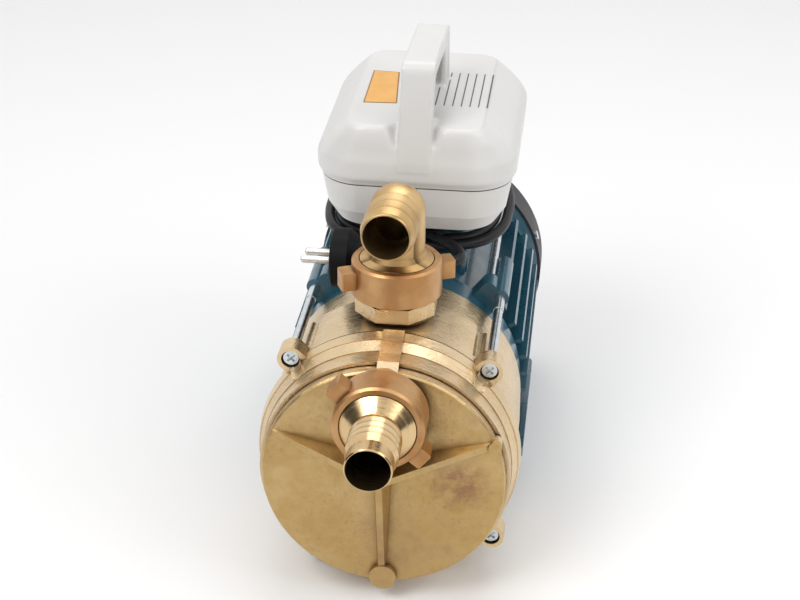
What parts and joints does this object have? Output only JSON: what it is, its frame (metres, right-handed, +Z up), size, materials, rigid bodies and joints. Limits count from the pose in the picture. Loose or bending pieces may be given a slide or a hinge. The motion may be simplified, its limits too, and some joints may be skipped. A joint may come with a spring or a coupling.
{
  "type": "electric transfer pump",
  "caption": "Portable mains electric transfer pump with brass head, two hose unions, finned motor on a foot plate and a white terminal box with carrying handle.",
  "frame": {"origin": "centre of the motor foot's bolt pattern on the ground plane, under the shaft", "axes": "+Z up, +Y to the rear along the shaft from pump head to fan cover, +X to the right seen from the pump head"},
  "size_m": [0.1652, 0.4437, 0.309],
  "materials": {
    "cast_brass": "as cast, matte",
    "machined_brass": "turned, satin",
    "bronze": "satin",
    "zinc_steel": "bright zinc plated",
    "bare_steel": "ground",
    "motor_paint": "semi-gloss enamel",
    "cover_black": "textured",
    "housing_white": "satin moulded",
    "rubber_black": "matte",
    "cable_black": "satin",
    "plug_black": "moulded",
    "pin_nickel": "nickel plated",
    "copper": "enamelled",
    "cream_plastic": "moulded",
    "capacitor_grey": "moulded",
    "label_orange": "printed film, left bare"
  },
  "bodies": {
    "pump_body": {"front_casing": "cast_brass", "casing_seal": "rubber_black", "pump_casing": "cast_brass", "casing_screws": "zinc_steel", "suction_port_plate": "machined_brass", "delivery_port_plate": "machined_brass", "impeller_ring": "machined_brass", "seal_seat": "cream_plastic", "suction_washer": "rubber_black", "delivery_washer": "rubber_black", "front_bearing_outer": "bare_steel", "rear_bearing_outer": "bare_steel", "front_shield": "motor_paint", "wave_spring": "bare_steel", "stator_housing": "motor_paint", "stator_core": "bare_steel", "stator_winding": "copper", "rear_shield": "motor_paint", "tie_rods": "zinc_steel", "tie_rod_nuts": "zinc_steel", "fan_cover": "cover_black", "cover_screws": "zinc_steel", "motor_foot": "motor_paint", "foot_screws": "zinc_steel", "terminal_base": "housing_white", "terminal_gasket": "rubber_black", "terminal_lid": "housing_white", "lid_screws": "zinc_steel", "base_screws": "zinc_steel", "terminal_block": "cream_plastic", "run_capacitor": "capacitor_grey", "cable_gland": "plug_black", "cord_relief": "rubber_black", "switch_frame": "plug_black", "mains_lead": "cable_black", "plug_lead": "cable_black", "mains_coil": "cable_black", "mains_plug": "plug_black", "plug_pins": "pin_nickel"},
    "rotor_assembly": {"motor_shaft": "bare_steel", "rotor": "bare_steel", "impeller": "bronze", "impeller_key": "bare_steel", "impeller_nut": "machined_brass", "seal_rotary": "rubber_black", "water_slinger": "rubber_black", "front_bearing_inner": "bare_steel", "rear_bearing_inner": "bare_steel", "fan": "cream_plastic"},
    "suction_nut": {"suction_nut": "bronze"},
    "suction_tail": {"suction_hose_tail": "machined_brass"},
    "delivery_nut": {"delivery_nut": "bronze"},
    "delivery_elbow": {"delivery_elbow": "bronze"},
    "switch_rocker": {"switch_rocker": "plug_black"}
  },
  "joints": [
    {"name": "rotor_spin", "type": "hinge", "parent": "pump_body", "child": "rotor_assembly", "pos_m": [0, 0, 0.088], "axis": [0, 1, 0], "continuous": true},
    {"name": "suction_nut_turn", "type": "hinge", "parent": "pump_body", "child": "suction_nut", "pos_m": [0, -0.26, 0.1395], "axis": [0, -1, 0], "continuous": true},
    {"name": "suction_tail_swivel", "type": "hinge", "parent": "pump_body", "child": "suction_tail", "pos_m": [0, -0.29, 0.1395], "axis": [0, -1, 0], "continuous": true},
    {"name": "delivery_nut_turn", "type": "hinge", "parent": "pump_body", "child": "delivery_nut", "pos_m": [0, -0.179, 0.195], "axis": [0, 0, 1], "range_deg": [-35, 15]},
    {"name": "delivery_elbow_swivel", "type": "hinge", "parent": "pump_body", "child": "delivery_elbow", "pos_m": [0, -0.179, 0.2], "axis": [0, 0, 1], "continuous": true},
    {"name": "switch_rock", "type": "hinge", "parent": "pump_body", "child": "switch_rocker", "pos_m": [-0.022, 0.045, 0.2105], "axis": [0, 0, 1], "range_deg": [0, 16]}
  ]
}
